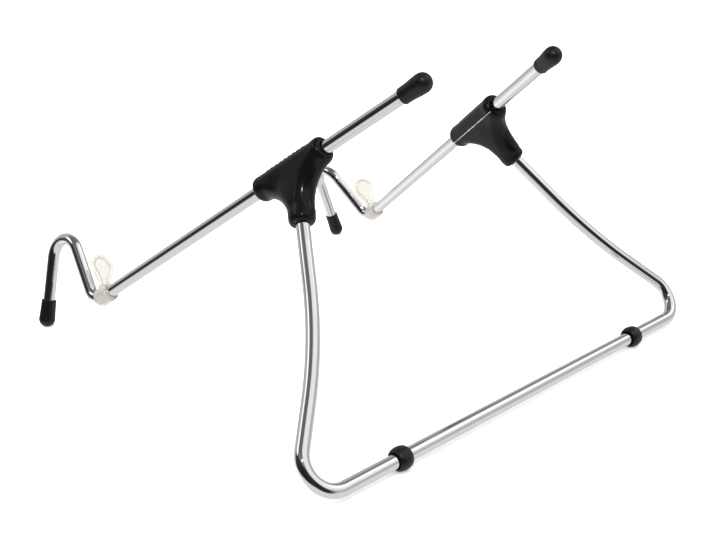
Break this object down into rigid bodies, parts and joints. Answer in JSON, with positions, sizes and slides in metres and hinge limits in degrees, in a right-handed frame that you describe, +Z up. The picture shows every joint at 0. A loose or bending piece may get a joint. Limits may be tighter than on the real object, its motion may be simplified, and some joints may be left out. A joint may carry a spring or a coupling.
{
  "type": "folding laptop stand",
  "caption": "Folding wire stand that props a laptop or book at a slope: bell-shaped leg, hooked arms that slide in swivelling tees, rubber feet and clear stoppers.",
  "frame": {"origin": "on the surface the stand stands on, under the middle of its bounding box", "axes": "+X to the right of the user in front, +Y to the rear (the leg's bottom bar), +Z up"},
  "size_m": [0.251, 0.241, 0.1459],
  "materials": {
    "chrome_rod": "bright chrome plate on steel wire",
    "black_plastic": "glossy black moulding",
    "black_rubber": "matt black rubber",
    "clear_plastic": "clear soft plastic, faintly warm",
    "nylon": "natural nylon",
    "spring_steel": "oiled spring steel"
  },
  "bodies": {
    "leg": {"leg_rod": "chrome_rod", "bar_bumper_right": "black_rubber", "bar_bumper_left": "black_rubber", "retaining_ring_right": "spring_steel", "retaining_ring_left": "spring_steel"},
    "tee_right": {"tee_right": "black_plastic", "stem_bush_right": "nylon"},
    "liner_right": {"grip_liner_right": "nylon"},
    "arm_right": {"arm_rod_right": "chrome_rod", "rear_cap_right": "black_rubber", "foot_cap_right": "black_rubber"},
    "stopper_right": {"stopper_right": "clear_plastic"},
    "tee_left": {"tee_left": "black_plastic", "stem_bush_left": "nylon"},
    "liner_left": {"grip_liner_left": "nylon"},
    "arm_left": {"arm_rod_left": "chrome_rod", "rear_cap_left": "black_rubber", "foot_cap_left": "black_rubber"},
    "stopper_left": {"stopper_left": "clear_plastic"}
  },
  "joints": [
    {"name": "right_swivel", "type": "hinge", "parent": "leg", "child": "tee_right", "pos_m": [0.05878, 0.03516, 0.10204], "axis": [0.4131, 0.5805, -0.7017], "range_deg": [-12, 101]},
    {"name": "right_roll", "type": "hinge", "parent": "tee_right", "child": "liner_right", "pos_m": [0.05878, 0.03516, 0.10204], "axis": [-0.2467, 0.7874, 0.565], "range_deg": [-90, 90]},
    {"name": "right_slide", "type": "slide", "parent": "liner_right", "child": "arm_right", "axis": [-0.2467, 0.7874, 0.565], "range_m": [-0.038, 0.101]},
    {"name": "right_stopper_turn", "type": "hinge", "parent": "arm_right", "child": "stopper_right", "pos_m": [0.09197, -0.07074, 0.02606], "axis": [-0.2467, 0.7874, 0.565], "range_deg": [-60, 60]},
    {"name": "left_swivel", "type": "hinge", "parent": "leg", "child": "tee_left", "pos_m": [-0.05878, 0.03516, 0.10204], "axis": [0.4131, -0.5805, 0.7017], "range_deg": [-12, 109]},
    {"name": "left_roll", "type": "hinge", "parent": "tee_left", "child": "liner_left", "pos_m": [-0.05878, 0.03516, 0.10204], "axis": [0.2467, 0.7874, 0.565], "range_deg": [-90, 90]},
    {"name": "left_slide", "type": "slide", "parent": "liner_left", "child": "arm_left", "axis": [0.2467, 0.7874, 0.565], "range_m": [-0.038, 0.101]},
    {"name": "left_stopper_turn", "type": "hinge", "parent": "arm_left", "child": "stopper_left", "pos_m": [-0.09165, -0.06972, 0.02679], "axis": [0.2467, 0.7874, 0.565], "range_deg": [-60, 60]}
  ]
}
